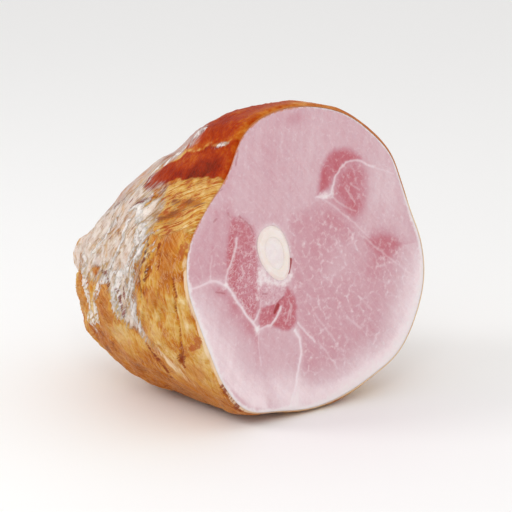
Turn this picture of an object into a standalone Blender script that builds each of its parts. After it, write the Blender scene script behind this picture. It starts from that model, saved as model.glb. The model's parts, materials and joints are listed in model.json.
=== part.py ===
"""A bone-in half ham, lying on its side with the cut through the thigh facing -Y.

The leg runs back along +Y to the shank. Three pieces: the meat with its rind, the tube of the
thigh bone, and the marrow inside it. Sizes are in millimetres until a piece is finished.
"""

import math

import bmesh
import bpy
from mathutils import Matrix, Vector, noise

MM = 0.001
TAU = math.tau

# The cut face: its reach from the middle of the leg, every 15 degrees from +X towards +Z.
CUT_CENTRE_X = 7.0
CUT_CENTRE_Z = 105.0
CUT_REACHES = (
    96, 89, 89, 94, 97, 102, 106, 110, 109.5, 97, 98, 102,
    100, 95.5, 96, 102, 107.5, 102.5, 102.5, 103, 105, 109.5, 107, 103,
)

# The leg behind the cut: how far it reaches each way at each distance from the cut.
STATIONS = (0, 15, 50, 90, 130, 170)
LEFT_REACH = (-93, -97, -101, -99, -91, -80)
RIGHT_REACH = (106.5, 106, 97, 72, 40, 10)
TOP_HEIGHT = (211, 210, 198, 171, 131, 91)
BOTTOM_HEIGHT = (1, -1.5, -2, -0.5, 6, 25)

# The section turns from the cut's outline into a rounded square over this length.
ROUNDED_BY = 120.0
SQUARENESS = 2.3

# The shank end closes over its last stretch, and its upper side reaches further back.
LEG_LENGTH = 178.0
END_STARTS = 134.0
END_INNER_POWER = 2.5
END_OUTER_POWER = 2.1
END_SLANT = 0.5

# The knob of skin and gristle at the top of the shank end.
KNOB_TURN = math.radians(126)
KNOB_HALF_TURN = math.radians(24)
KNOB_BACK = 166.0
KNOB_HALF_LENGTH = 11.0
KNOB_HEIGHT = 14.0
KNOB_LEAN_BACK = 0.5

# Relief of the rind: broad lumps, pleats along the shank, folds across it.
LUMP_SIZE = 46.0
LUMP_HEIGHT = 2.0
PLEATS_ROUND = 13
PLEAT_HEIGHT = 1.2
PLEATS_START = 85.0
PLEATS_FULL = 150.0
FOLD_SPACING = 17.0
FOLD_HEIGHT = 0.9
FOLDS_START = 40.0
FOLDS_FULL = 110.0
# How far the pleats and folds stray from straight, and over what distance.
PLEAT_STRAY = 3.5
FOLD_STRAY = 5.6
STRAY_SIZE = 30.0
# The relief dies out towards the cut, and all but the lumps towards the tip.
EDGE_QUIET = 14.0
TIP_QUIET_FROM = 150.0

# The creases between the muscles snake a little as they run along the leg.
CREASE_SWAY = 0.08
CREASE_SWAY_LENGTH = 132.0
SHANK_RADIUS = 50.0
# Each crease: turn at the cut, turn at the shank, depth, half width.
CREASES = (
    (math.radians(124), math.radians(112), 3.0, 7.0),
    (math.radians(150), math.radians(158), 1.6, 6.0),
    (math.radians(196), math.radians(204), 2.0, 6.0),
    (math.radians(232), math.radians(222), 2.4, 8.0),
    (math.radians(318), math.radians(300), 2.2, 9.0),
    (math.radians(22), math.radians(40), 2.6, 10.0),
)

# The thigh bone in the cut: an oval that leans to the left and narrows downwards.
BONE_X = -23.8
BONE_Z = 116.0
BONE_HALF_WIDTH = 11.4
BONE_HALF_HEIGHT = 20.2
BONE_LEAN = math.radians(23)
BONE_NARROWING = 0.16
BONE_PROUD = 0.8
MARROW_HALF_WIDTH = 7.4
MARROW_HALF_HEIGHT = 12.6
MARROW_PROUD = 0.3

# Where the bone's far end lies, and how much slimmer it is there.
BONE_LENGTH = 140.0
BONE_FAR_X = -28.0
BONE_FAR_Z = 70.0
BONE_FAR_SCALE = 0.8
MARROW_LENGTH = 132.0
PIECE_GAP = 0.3
POCKET_OVERRUN = 6.0

# How finely the meat is divided.
SEGMENTS = 96
CUT_RINGS = 3
SIDE_RINGS = 34
END_RINGS = 13
BONE_SEGMENTS = 40
CUT_CHAMFER = 1.2

MEAT_PINK = (0.72, 0.36, 0.38, 1.0)
BONE_CREAM = (0.86, 0.78, 0.66, 1.0)
MARROW_WHITE = (0.90, 0.84, 0.80, 1.0)


def clear_scene():
    for obj in list(bpy.data.objects):
        bpy.data.objects.remove(obj, do_unlink=True)


def smooth_step(low, high, value):
    share = min(max((value - low) / (high - low), 0.0), 1.0)
    return share * share * (3.0 - 2.0 * share)


def mix(first, second, share):
    return first + (second - first) * share


def catmull(before, start, end, after, share):
    """A smooth curve from start to end that passes on from before and towards after."""
    return 0.5 * (
        2 * start
        + (end - before) * share
        + (2 * before - 5 * start + 4 * end - after) * share**2
        + (3 * start - before - 3 * end + after) * share**3
    )


def cut_reach(turn):
    """Reach of the cut face from its middle, in the direction turn."""
    count = len(CUT_REACHES)
    place = (turn % TAU) / TAU * count
    step = int(place) % count
    picked = [CUT_REACHES[(step + k) % count] for k in (-1, 0, 1, 2)]
    return catmull(*picked, place - int(place))


def cut_outline(turn):
    reach = cut_reach(turn)
    return CUT_CENTRE_X + reach * math.cos(turn), CUT_CENTRE_Z + reach * math.sin(turn)


def cut_unit(turn):
    """The cut outline, squeezed so that it just fills the square from -1 to 1."""
    x, z = cut_outline(turn)
    return (
        mix(-1, 1, (x - LEFT_REACH[0]) / (RIGHT_REACH[0] - LEFT_REACH[0])),
        mix(-1, 1, (z - BOTTOM_HEIGHT[0]) / (TOP_HEIGHT[0] - BOTTOM_HEIGHT[0])),
    )


def rounded_unit(turn):
    """A rounded square that just fills the square from -1 to 1."""
    across, up = math.cos(turn), math.sin(turn)
    size = (abs(across) ** SQUARENESS + abs(up) ** SQUARENESS) ** (1 / SQUARENESS)
    return across / size, up / size


def along_leg(values, along):
    """A value given at the stations, read smoothly between them without overshoot."""
    along = min(max(along, STATIONS[0]), STATIONS[-1])
    slopes = [
        (values[k + 1] - values[k]) / (STATIONS[k + 1] - STATIONS[k])
        for k in range(len(values) - 1)
    ]
    bends = [slopes[0]]
    for first, second in zip(slopes, slopes[1:]):
        same_way = first * second > 0
        bends.append(2 * first * second / (first + second) if same_way else 0.0)
    bends.append(slopes[-1])
    k = max(i for i in range(len(slopes)) if STATIONS[i] <= along)
    span = STATIONS[k + 1] - STATIONS[k]
    t = (along - STATIONS[k]) / span
    return (
        (1 + 2 * t) * (1 - t) ** 2 * values[k]
        + t * (1 - t) ** 2 * span * bends[k]
        + t * t * (3 - 2 * t) * values[k + 1]
        + t * t * (t - 1) * span * bends[k + 1]
    )


def leg_point(turn, along, inward=1.0):
    """A point of the leg's skin. inward draws it towards the middle of its section."""
    left, right = along_leg(LEFT_REACH, along), along_leg(RIGHT_REACH, along)
    top, bottom = along_leg(TOP_HEIGHT, along), along_leg(BOTTOM_HEIGHT, along)
    share = smooth_step(0, ROUNDED_BY, along)
    across = mix(cut_unit(turn)[0], rounded_unit(turn)[0], share)
    up = mix(cut_unit(turn)[1], rounded_unit(turn)[1], share)

    closing = min(max((along - END_STARTS) / (LEG_LENGTH - END_STARTS), 0.0), 1.0)
    closed = (1 - closing**END_INNER_POWER) ** (1 / END_OUTER_POWER) * inward
    middle_x, middle_z = (left + right) / 2, (top + bottom) / 2
    x = middle_x + closed * across * (right - left) / 2
    z = middle_z + closed * up * (top - bottom) / 2
    y = along + END_SLANT * (along / LEG_LENGTH) ** 3 * (z - middle_z)
    return Vector((x, y, z))


def turn_apart(first, second):
    """The angle between two turns, from 0 to half a turn."""
    return abs((first - second + math.pi) % TAU - math.pi)


def knob(turn, along):
    """How much of the knob's height there is here, from 0 to 1."""
    side = turn_apart(turn, KNOB_TURN) / KNOB_HALF_TURN
    back = (along - KNOB_BACK) / KNOB_HALF_LENGTH
    return math.exp(-side * side - back * back)


def crease_depth(turn, along):
    """Depth of the valleys between the muscles, which run along the leg."""
    share = along / LEG_LENGTH
    radius = mix(CUT_CENTRE_Z, SHANK_RADIUS, share)
    depth = 0.0
    for at_cut, at_shank, deepest, half_width in CREASES:
        sway = CREASE_SWAY * math.sin(TAU * along / CREASE_SWAY_LENGTH + 3 * at_cut)
        middle = mix(at_cut, at_shank, share) + sway
        away = turn_apart(turn, middle) * radius / half_width
        depth += deepest * math.exp(-away * away)
    return depth


def rind_relief(point, turn, along):
    """Height of the rind above the smooth leg: lumps, creases, pleats and folds."""
    lumps = LUMP_HEIGHT * noise.fractal(point / LUMP_SIZE, 1.0, 2.0, 2)
    stray = noise.noise(point / STRAY_SIZE)
    pleats = PLEAT_HEIGHT * math.sin(PLEATS_ROUND * turn + PLEAT_STRAY * stray)
    pleats *= smooth_step(PLEATS_START, PLEATS_FULL, along)
    folds = FOLD_HEIGHT * math.sin(TAU * along / FOLD_SPACING + FOLD_STRAY * stray)
    folds *= smooth_step(FOLDS_START, FOLDS_FULL, along)
    quiet_at_cut = smooth_step(0, EDGE_QUIET, along)
    quiet_at_tip = 1 - smooth_step(TIP_QUIET_FROM, LEG_LENGTH, along)
    fine = quiet_at_tip * (pleats + folds - crease_depth(turn, along))
    return quiet_at_cut * (lumps + fine)


def ring_plan():
    """For each ring from the middle of the cut to the shank's tip: (along, inward)."""
    rings = [(0.0, k / (CUT_RINGS + 1)) for k in range(CUT_RINGS + 1)]
    rings.append((0.0, 1 - CUT_CHAMFER / CUT_CENTRE_Z))
    for k in range(SIDE_RINGS):
        rings.append((mix(CUT_CHAMFER, END_STARTS, k / SIDE_RINGS), 1.0))
    for k in range(END_RINGS):
        bow = math.sin(math.pi / 2 * k / END_RINGS)
        rings.append((mix(END_STARTS, LEG_LENGTH, bow), 1.0))
    rings.append((LEG_LENGTH, 1.0))
    return rings


def finished(name, bm, colour, roughness):
    """Turns bm, in millimetres, into an object in metres with its own material."""
    bmesh.ops.scale(bm, vec=Vector((MM, MM, MM)), verts=bm.verts)
    bmesh.ops.recalc_face_normals(bm, faces=bm.faces)
    mesh = bpy.data.meshes.new(name)
    bm.to_mesh(mesh)
    bm.free()
    mesh.shade_smooth()
    material = bpy.data.materials.new(name)
    material.use_nodes = True
    shader = material.node_tree.nodes["Principled BSDF"]
    shader.inputs["Base Color"].default_value = colour
    shader.inputs["Roughness"].default_value = roughness
    shader.inputs["Metallic"].default_value = 0.0
    mesh.materials.append(material)
    return bpy.data.objects.new(name, mesh)


def make_meat():
    """The leg: a globe whose rings are laid over the cut, the side and the shank end."""
    rings = ring_plan()
    bm = bmesh.new()
    bmesh.ops.create_uvsphere(
        bm, u_segments=SEGMENTS, v_segments=len(rings) - 1, radius=1.0
    )
    laid = {}
    for vert in bm.verts:
        turn = math.atan2(vert.co.y, vert.co.x)
        down = math.acos(max(-1.0, min(1.0, vert.co.z)))
        ring = round(down / math.pi * (len(rings) - 1))
        along, inward = rings[ring]
        vert.co = leg_point(turn, along, inward)
        laid[vert] = (turn, along)

    bmesh.ops.recalc_face_normals(bm, faces=bm.faces)
    bm.normal_update()
    moved = {}
    for vert, (turn, along) in laid.items():
        if along == 0.0:
            continue
        height = rind_relief(vert.co, turn, along)
        lift = KNOB_HEIGHT * knob(turn, along)
        outward = Vector((math.cos(turn), KNOB_LEAN_BACK, math.sin(turn)))
        moved[vert] = vert.co + vert.normal * height + outward * lift
    for vert, place in moved.items():
        vert.co = place
    for vert in bm.verts:
        vert.co.z = max(vert.co.z, 0.0)
    return finished("ham_meat", bm, MEAT_PINK, 0.45)


def bone_piece(name, half_width, half_height, proud, length, colour):
    """An oval rod along the bone's line, from just proud of the cut to its far end."""
    bm = bmesh.new()
    bmesh.ops.create_cone(
        bm, cap_ends=True, segments=BONE_SEGMENTS, radius1=1.0, radius2=1.0, depth=2.0
    )
    for vert in bm.verts:
        across, up = vert.co.x, vert.co.y
        along = -proud if vert.co.z < 0 else length
        share = along / BONE_LENGTH
        size = mix(1.0, BONE_FAR_SCALE, share)
        wide = across * half_width * size * (1 + BONE_NARROWING * up)
        tall = up * half_height * size
        x = wide * math.cos(BONE_LEAN) - tall * math.sin(BONE_LEAN)
        z = wide * math.sin(BONE_LEAN) + tall * math.cos(BONE_LEAN)
        x += mix(BONE_X, BONE_FAR_X, share)
        z += mix(BONE_Z, BONE_FAR_Z, share)
        vert.co = Vector((x, along, z))
    return finished(name, bm, colour, 0.5)


def hollow_out(obj, cutter, cutters):
    """Cuts cutter's shape out of obj, and keeps the cutter out of the render."""
    cutters.objects.link(cutter)
    cutter.hide_render = True
    cutter.display_type = "WIRE"
    cut = obj.modifiers.new("Pocket", "BOOLEAN")
    cut.operation = "DIFFERENCE"
    cut.object = cutter


def box_middle(objects, axis):
    places = [v.co[axis] for obj in objects for v in obj.data.vertices]
    return (min(places) + max(places)) / 2


def stand_on_origin(measured, others):
    """Moves every piece so that the origin is under the middle of the measured ones' box."""
    shift = Vector((-box_middle(measured, 0), -box_middle(measured, 1), 0.0))
    for obj in measured + others:
        obj.data.transform(Matrix.Translation(shift))


def main():
    clear_scene()
    ham = bpy.data.collections.new("bone_in_ham")
    cutters = bpy.data.collections.new("cutters")
    for collection in (ham, cutters):
        bpy.context.scene.collection.children.link(collection)

    bone_size = (BONE_HALF_WIDTH, BONE_HALF_HEIGHT)
    marrow_size = (MARROW_HALF_WIDTH, MARROW_HALF_HEIGHT)
    bone_hole = [half + PIECE_GAP for half in bone_size]
    marrow_hole = [half + PIECE_GAP for half in marrow_size]
    bone_end = BONE_LENGTH + PIECE_GAP
    marrow_end = MARROW_LENGTH + PIECE_GAP

    meat = make_meat()
    bone = bone_piece("thigh_bone", *bone_size, BONE_PROUD, BONE_LENGTH, BONE_CREAM)
    marrow = bone_piece(
        "bone_marrow", *marrow_size, MARROW_PROUD, MARROW_LENGTH, MARROW_WHITE
    )
    bone_pocket = bone_piece(
        "bone_pocket", *bone_hole, POCKET_OVERRUN, bone_end, BONE_CREAM
    )
    marrow_pocket = bone_piece(
        "marrow_pocket", *marrow_hole, POCKET_OVERRUN, marrow_end, MARROW_WHITE
    )
    for piece in (meat, bone, marrow):
        ham.objects.link(piece)
    hollow_out(meat, bone_pocket, cutters)
    hollow_out(bone, marrow_pocket, cutters)
    stand_on_origin([meat, bone, marrow], [bone_pocket, marrow_pocket])


main()
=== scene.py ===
# %% [markdown]
# # Dressing a bone-in ham
#
# The ham lies on its side. Its cut through the thigh faces -Y, and the leg runs back along +Y to
# the shank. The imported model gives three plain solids: the meat, the thigh bone and the marrow.
# Here each of them is replaced by a fine mesh with the finish of the real thing.

# %% Load the frame
import json
import math

import bpy
import numpy as np
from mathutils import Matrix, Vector, noise

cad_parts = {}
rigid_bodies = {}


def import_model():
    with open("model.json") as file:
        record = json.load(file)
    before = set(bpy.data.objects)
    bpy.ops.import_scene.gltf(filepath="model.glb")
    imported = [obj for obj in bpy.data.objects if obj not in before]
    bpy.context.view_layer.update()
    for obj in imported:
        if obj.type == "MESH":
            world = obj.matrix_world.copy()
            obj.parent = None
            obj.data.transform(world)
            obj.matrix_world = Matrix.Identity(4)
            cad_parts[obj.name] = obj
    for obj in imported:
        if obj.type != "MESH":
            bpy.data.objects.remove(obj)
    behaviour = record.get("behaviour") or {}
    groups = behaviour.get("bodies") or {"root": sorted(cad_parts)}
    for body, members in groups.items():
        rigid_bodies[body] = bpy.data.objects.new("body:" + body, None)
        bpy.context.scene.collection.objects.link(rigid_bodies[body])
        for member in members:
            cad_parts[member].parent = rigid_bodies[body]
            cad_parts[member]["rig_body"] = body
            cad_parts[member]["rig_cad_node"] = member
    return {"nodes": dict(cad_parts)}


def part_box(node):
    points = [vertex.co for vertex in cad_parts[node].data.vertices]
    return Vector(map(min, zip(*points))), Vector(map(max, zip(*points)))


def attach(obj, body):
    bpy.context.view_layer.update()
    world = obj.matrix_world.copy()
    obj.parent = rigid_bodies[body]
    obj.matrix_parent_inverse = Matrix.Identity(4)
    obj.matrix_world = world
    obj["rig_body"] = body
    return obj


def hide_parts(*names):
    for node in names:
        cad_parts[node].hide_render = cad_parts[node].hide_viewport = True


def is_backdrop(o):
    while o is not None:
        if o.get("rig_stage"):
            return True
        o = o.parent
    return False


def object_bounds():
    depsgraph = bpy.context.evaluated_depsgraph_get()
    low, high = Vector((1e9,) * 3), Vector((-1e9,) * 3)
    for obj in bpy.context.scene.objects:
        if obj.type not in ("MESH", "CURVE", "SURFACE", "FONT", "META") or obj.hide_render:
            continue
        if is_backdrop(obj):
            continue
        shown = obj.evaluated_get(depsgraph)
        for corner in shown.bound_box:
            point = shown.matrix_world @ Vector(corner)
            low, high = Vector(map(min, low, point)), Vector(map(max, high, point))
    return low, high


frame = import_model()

MM = 0.001
TAU = math.tau
FRAME_BOX = [list(corner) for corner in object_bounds()]
BONE_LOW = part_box("thigh_bone")[0]
print("frame box", FRAME_BOX)

# %% [markdown]
# ## The camera
#
# The photograph looks at the cut from 36 degrees to its left and 15 degrees above. A long lens
# from over a metre away keeps the perspective mild. The camera's place was worked out from the
# outline of the cut, so it is stated as a point, and the two angles turn the camera. A small
# shift of the lens puts the ham where it stands in the picture.

# %% Place the camera
CAMERA_LEFT = math.radians(36)
CAMERA_ABOVE = math.radians(15)
CAMERA_PLACE = (-0.70375, -1.00502, 0.41808)
CAMERA_LENS = 127.84
CAMERA_SHIFT = (-0.002, 0.003)

camera_data = bpy.data.cameras.new("camera")
camera_data.lens = CAMERA_LENS
camera_data.sensor_width = 36
camera_data.shift_x, camera_data.shift_y = CAMERA_SHIFT
camera = bpy.data.objects.new("camera", camera_data)
camera.location = CAMERA_PLACE
camera.rotation_euler = (math.pi / 2 - CAMERA_ABOVE, 0, -CAMERA_LEFT)
bpy.context.scene.collection.objects.link(camera)
bpy.context.scene.camera = camera
print("camera at", CAMERA_PLACE)

# %% [markdown]
# ## The studio
#
# Food like this is lit by large soft boxes in a white room. Wet skin mirrors the white room at a
# grazing angle as a grey sheen along the top of the rind, and that sheen is also a painted
# reflection in the skin's colour. One box stands to the left of the camera, a weak one to its
# right and one behind the ham on the left. The picture uses the plain view transform, so a base
# colour comes out as the colour that it is.

# %% Light the studio
ROOM_COLOUR = (1, 0.99, 0.98, 1)
ROOM_STRENGTH = 0.84

bpy.context.scene.view_settings.view_transform = "Standard"
world = bpy.data.worlds.new("studio")
world.use_nodes = True
bpy.context.scene.world = world
room = world.node_tree.nodes["Background"]
room.inputs["Color"].default_value = ROOM_COLOUR
room.inputs["Strength"].default_value = ROOM_STRENGTH


def soft_box(name, place, aim, size, watts):
    """A square area light at place that faces the point aim."""
    light = bpy.data.lights.new(name, "AREA")
    light.size = size
    light.energy = watts
    box = bpy.data.objects.new(name, light)
    box.location = place
    direction = Vector(aim) - Vector(place)
    box.rotation_euler = direction.to_track_quat("-Z", "Y").to_euler()
    bpy.context.scene.collection.objects.link(box)


soft_box("key", (-0.9, -1.1, 1.3), (0, 0, 0.1), 0.7, 4.5)
soft_box("fill", (1.3, -1.2, 0.9), (0, 0, 0.1), 1.2, 1.5)
soft_box("sheen", (-1.3, 0.5, 1.0), (-0.05, 0, 0.12), 0.5, 7)
print("lights", [light.name for light in bpy.data.lights])

# %% [markdown]
# ## Writing shader maths as Python
#
# A material is a tree of nodes. Adding each node by hand is slow to read, so a small class wraps
# one socket of a node. Its operators add the Math node that they stand for. A second class holds
# the material. Its method node adds any other node: settings first, then the sockets. The short
# methods after it stand for the nodes that are used most.


# %% A socket that can be worked with
class Wire:
    """An output socket. Adding, multiplying and so on makes Math nodes."""

    def __init__(self, finish, socket):
        self.finish = finish
        self.socket = socket

    def math(self, operation, *values):
        return self.finish.node("Math", {"operation": operation}, *values)

    def __add__(self, other):
        return self.math("ADD", self, other)

    def __sub__(self, other):
        return self.math("SUBTRACT", self, other)

    def __rsub__(self, other):
        return self.math("SUBTRACT", other, self)

    def __mul__(self, other):
        return self.math("MULTIPLY", self, other)

    __radd__ = __add__
    __rmul__ = __mul__

    def larger(self, other):
        return self.math("MAXIMUM", self, other)

    def step(self, low, high):
        """0 below low and 1 above high, with a soft rise between them. Low may be the higher."""
        settings = {"interpolation_type": "SMOOTHSTEP"}
        named = {"Value": self, "From Min": low, "From Max": high}
        return self.finish.node("MapRange", settings, **named)


# %% A material that nodes are added to
class Finish:
    """A material with one Principled shader. Its nodes are added by the method node."""

    def __init__(self, name, **uniform):
        self.material = bpy.data.materials.new(name)
        self.material.use_nodes = True
        self.tree = self.material.node_tree
        self.shader = self.tree.nodes["Principled BSDF"]
        self.set(**uniform)

    def fill(self, socket, value):
        if isinstance(value, Wire):
            self.tree.links.new(value.socket, socket)
        elif value is not None:
            socket.default_value = value

    def set(self, **values):
        """Fills sockets of the shader. A name's underscores stand for spaces."""
        for name, value in values.items():
            self.fill(self.shader.inputs[name.replace("_", " ")], value)

    def node(self, kind, settings, *values, out=None, **named):
        """Adds a node: its settings, the values of its sockets, then the output wanted."""
        node = self.tree.nodes.new("ShaderNode" + kind)
        for name, value in settings.items():
            if name == "stops":
                fill_ramp(node.color_ramp, value)
            else:
                setattr(node, name, value)
        inputs = [socket for socket in node.inputs if socket.enabled]
        for socket, value in zip(inputs, values):
            self.fill(socket, value)
        by_name = {socket.name: socket for socket in inputs}
        for name, value in named.items():
            self.fill(by_name[name], value)
        outputs = [socket for socket in node.outputs if socket.enabled]
        wanted = [socket for socket in outputs if out in (None, socket.name)]
        return Wire(self, wanted[0])

    def mix(self, share, first, second):
        """A colour between first and second."""
        return self.node("Mix", {"data_type": "RGBA"}, share, first, second)

    def lay(self, colour, *layers):
        """Lays colours over the first one. Each layer is its share and its colour."""
        for share, over in layers:
            colour = self.mix(share, colour, over)
        return colour

    def ramp(self, stops, depth):
        """The colour that the stops have at a depth from 0 to 1."""
        return self.node("ValToRGB", {"stops": stops}, depth)

    def painted(self, name):
        """A value that was painted on the mesh's points."""
        return self.node("Attribute", {"attribute_name": name}, out="Fac")

    def on_ham(self):
        """The place on the ham in metres, which is the same for every piece."""
        return self.node("TexCoord", {}, out="Object")


def fill_ramp(ramp, stops):
    """Gives a colour ramp the stops, each a place from 0 to 1 and a colour."""
    while len(ramp.elements) < len(stops):
        ramp.elements.new(1)
    for element, (place, colour) in zip(ramp.elements, stops):
        element.position = place
        element.color = colour


def shade(red, green, blue):
    """A colour as a picture editor gives it, from 0 to 255, turned into linear light."""
    linear = []
    for value in (red, green, blue):
        value /= 255
        linear.append(value / 12.92 if value <= 0.04045 else ((value + 0.055) / 1.055) ** 2.4)
    return (*linear, 1)


print("gold is", [round(value, 3) for value in shade(214, 165, 85)])

# %% [markdown]
# ## The floor
#
# A plain pale sheet, so large that its edges stay out of every view. It isn't part of the ham.

# %% Lay the floor
bpy.ops.object.select_all(action="DESELECT")
bpy.ops.mesh.primitive_plane_add(size=16, location=(0, 0, 0))
floor = bpy.context.object
floor.name = "floor"
paper = Finish("floor_paper", Base_Color=(0.93, 0.93, 0.93, 1), Roughness=0.7)
floor.data.materials.append(paper.material)
floor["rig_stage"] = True
print("floor", floor.dimensions)

# %% [markdown]
# ## Places on the leg and on the cut
#
# Two ways to say where something is make the rest easy to write. On the rind, a place is a turn
# round the leg, from +X towards +Z, and a distance back from the cut. On the cut, a place is
# measured in millimetres from the middle of the bone, across and up. All patterns are written in
# these two, and painted on the points of the meshes as attributes.

# %% Leg places and cut places
CUT_MIDDLE = np.array([4.7, 105.0])
SHANK_MIDDLE = np.array([-37.3, 60.0])
SHANK_BACK = 180.0
CUT_PLANE = (BONE_LOW.y + 0.8 * MM) / MM
BONE_MIDDLE = np.array([-26.1, 116.0])
BONE_COURSE = np.array([-4.2, -46.0])
BONE_RUN = 140
BONE_REACH = 24
LIP_WIDTH = 1.0
LIP_DEPTH = 4.0


def points_of(piece):
    """The points of a piece as an array, in millimetres."""
    flat = np.empty(len(piece.data.vertices) * 3, np.float32)
    piece.data.vertices.foreach_get("co", flat)
    return flat.reshape(-1, 3).astype(float) / MM


def put_points(piece, points):
    piece.data.vertices.foreach_set("co", (points * MM).astype(np.float32).ravel())
    piece.data.update()


def leg_places(points):
    """Turn in degrees, from -90 to 270, distance back and distance out, in millimetres."""
    back = points[:, 1] - CUT_PLANE
    share = (back / SHANK_BACK)[:, None]
    middle = CUT_MIDDLE * (1 - share) + SHANK_MIDDLE * share
    across, up = (points[:, [0, 2]] - middle).T
    turn = (np.degrees(np.arctan2(up, across)) + 90) % 360 - 90
    return turn, back, np.hypot(across, up)


def smooth(low, high, value):
    share = np.clip((value - low) / (high - low), 0, 1)
    return share * share * (3 - 2 * share)


def ripple(places, seed=0, octaves=3):
    """Smooth noise from about -1 to 1 at each place, given in units of its own size."""
    shift = Vector((seed * 7.3, seed * 3.1, seed * 5.7))
    return np.array([noise.fractal(Vector(p) + shift, 0.9, 2.0, octaves) for p in places])


def paint(piece, name, values):
    """Stores one value for each point of a piece, for its material to read."""
    layer = piece.data.attributes.new(name, "FLOAT", "POINT")
    layer.data.foreach_set("value", np.asarray(values, np.float32))


def near_lines(here, lines, width):
    """1 on the lines, falling softly to 0 at 0.7 of the width. Each is a row of places."""
    away = np.full(len(here), np.inf)
    for line in lines:
        places = np.array(line, float)
        for start, run in zip(places[:-1], np.diff(places, axis=0)):
            share = np.clip((here - start) @ run / (run @ run), 0, 1)
            reached = start + share[:, None] * run
            away = np.minimum(away, np.linalg.norm(here - reached, axis=1))
    return 1 - smooth(0.15 * width, 0.7 * width, away)


def within_border(here, border, edge):
    """1 inside a closed border and 0 outside, with a soft step of edge mm to each side."""
    corners = np.array(border, float)
    following = np.roll(corners, -1, axis=0)
    inside = np.zeros(len(here), bool)
    away = np.full(len(here), np.inf)
    for start, end in zip(corners, following):
        crosses = (start[1] > here[:, 1]) != (end[1] > here[:, 1])
        rise = end[1] - start[1] or 1e-9
        crossing = start[0] + (here[:, 1] - start[1]) * (end[0] - start[0]) / rise
        inside ^= crosses & (here[:, 0] < crossing)
        run = end - start
        share = np.clip((here - start) @ run / (run @ run), 0, 1)
        away = np.minimum(away, np.linalg.norm(here - start - share[:, None] * run, axis=1))
    return smooth(-edge, edge, np.where(inside, away, -away))


def near_spots(here, marks):
    """The sum of soft round spots: place across and up, half sizes and strength."""
    total = np.zeros(len(here))
    for across, up, half_across, half_up, strength in marks:
        away = ((here[:, 0] - across) / half_across) ** 2 + ((here[:, 1] - up) / half_up) ** 2
        total += strength * np.exp(-away)
    return total


print("the cut is at y =", round(CUT_PLANE, 2), "mm")

# %% [markdown]
# ## The rind: its shape
#
# The rind is the smoked skin all round the leg. Its broad form is the solid's, so a copy of the
# solid is the start. The cut face and the bone's pocket are deleted, the triangles become quads,
# and a Subdivision Surface makes them fine enough to hold wrinkles. The open edge is turned in and
# closed behind the cut after the painting, which gives the skin a lip and makes it one body.

# %% Copy the solid and open it at the cut
SKIN_LEVELS = 2

bpy.ops.object.select_all(action="DESELECT")
rind = frame["nodes"]["ham_meat"].copy()
rind.data = rind.data.copy()
rind.name = "smoked_rind"
rind.parent = None
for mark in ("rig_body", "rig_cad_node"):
    del rind[mark]
bpy.context.scene.collection.objects.link(rind)
bpy.context.view_layer.objects.active = rind
rind.select_set(True)
rind.data.materials.clear()


def select_faces(piece, wanted):
    """Leaves edit mode's selection on the faces whose middle passes the test wanted."""
    bpy.ops.object.mode_set(mode="OBJECT")
    for face in piece.data.polygons:
        face.select = wanted(face)
    bpy.ops.object.mode_set(mode="EDIT")


bpy.ops.object.mode_set(mode="EDIT")
bpy.ops.mesh.select_mode(type="FACE")
bpy.ops.mesh.select_all(action="SELECT")
bpy.ops.mesh.remove_doubles(threshold=0.00001)
select_faces(rind, lambda face: face.center.y / MM < CUT_PLANE + 0.05)
bpy.ops.mesh.delete(type="FACE")


def near_bone(face):
    """The pocket's walls lie within the bone's reach of the bone's line."""
    back = face.center.y / MM - CUT_PLANE
    across, up = BONE_MIDDLE + BONE_COURSE * back / BONE_RUN
    away = math.hypot(face.center.x / MM - across, face.center.z / MM - up)
    return away < BONE_REACH and back < BONE_RUN + 1


select_faces(rind, near_bone)
bpy.ops.mesh.delete(type="FACE")
bpy.ops.mesh.select_all(action="SELECT")
bpy.ops.mesh.tris_convert_to_quads(face_threshold=math.pi, shape_threshold=math.pi)
bpy.ops.object.mode_set(mode="OBJECT")
print("rind faces", len(rind.data.polygons))

# %% Make it fine and find its edge
bpy.ops.object.modifier_add(type="SUBSURF")
fineness = rind.modifiers[-1]
fineness.levels = SKIN_LEVELS
fineness.render_levels = SKIN_LEVELS
bpy.ops.object.modifier_apply(modifier=fineness.name)


def rim_of(piece):
    """The points of the open edge: their numbers, in order round the cut's middle."""
    edges = piece.data.edges
    used = np.zeros(len(edges), int)
    for face in piece.data.polygons:
        for loop in face.loop_indices:
            used[piece.data.loops[loop].edge_index] += 1
    rim = sorted({point for edge in np.flatnonzero(used == 1) for point in edges[edge].vertices})
    turn = leg_places(points_of(piece)[rim])[0]
    return np.array(rim)[np.argsort(turn)]


skin_rim = rim_of(rind)
RIM_TURN, _, RIM_REACH = leg_places(points_of(rind)[skin_rim])


def cut_reach(turn):
    """How far the cut reaches from its middle at each turn, in degrees."""
    return np.interp(turn, RIM_TURN, RIM_REACH, period=360)


print("rind faces", len(rind.data.polygons), "rim points", len(skin_rim))

# %% [markdown]
# ## The rind: wrinkles, folds and scars
#
# Smoked skin shrinks over the meat. It wrinkles in one slant on the side, in another slant
# below, and nearly round the leg close to the cut. The lines are ridges of noise that is drawn
# out along a slant of the leg's map, which is a flat map with the way round across and the way
# back up. Each set of wrinkles has its own part of the skin. A step such as a strap leaves runs
# back from the cut near the top, and one slit opens on the side. The skin swells out just behind
# the cut, most at the underside, where the weight presses it. The sides that the photograph
# hides get longer lines and small puckers. The points move along their normals by the sum.

# %% Map the skin
MAP_RADIUS = 90.0
skin = points_of(rind)
turn, back, _ = leg_places(skin)
arc = np.radians(turn) * MAP_RADIUS


def slanted(degrees, length, width):
    """Places on the leg's map in units of a length along the slant and a width across it."""
    slant = math.radians(degrees)
    along = arc * math.cos(slant) + back * math.sin(slant)
    across = back * math.cos(slant) - arc * math.sin(slant)
    return np.column_stack((along / length, across / width, 0 * arc))


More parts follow.
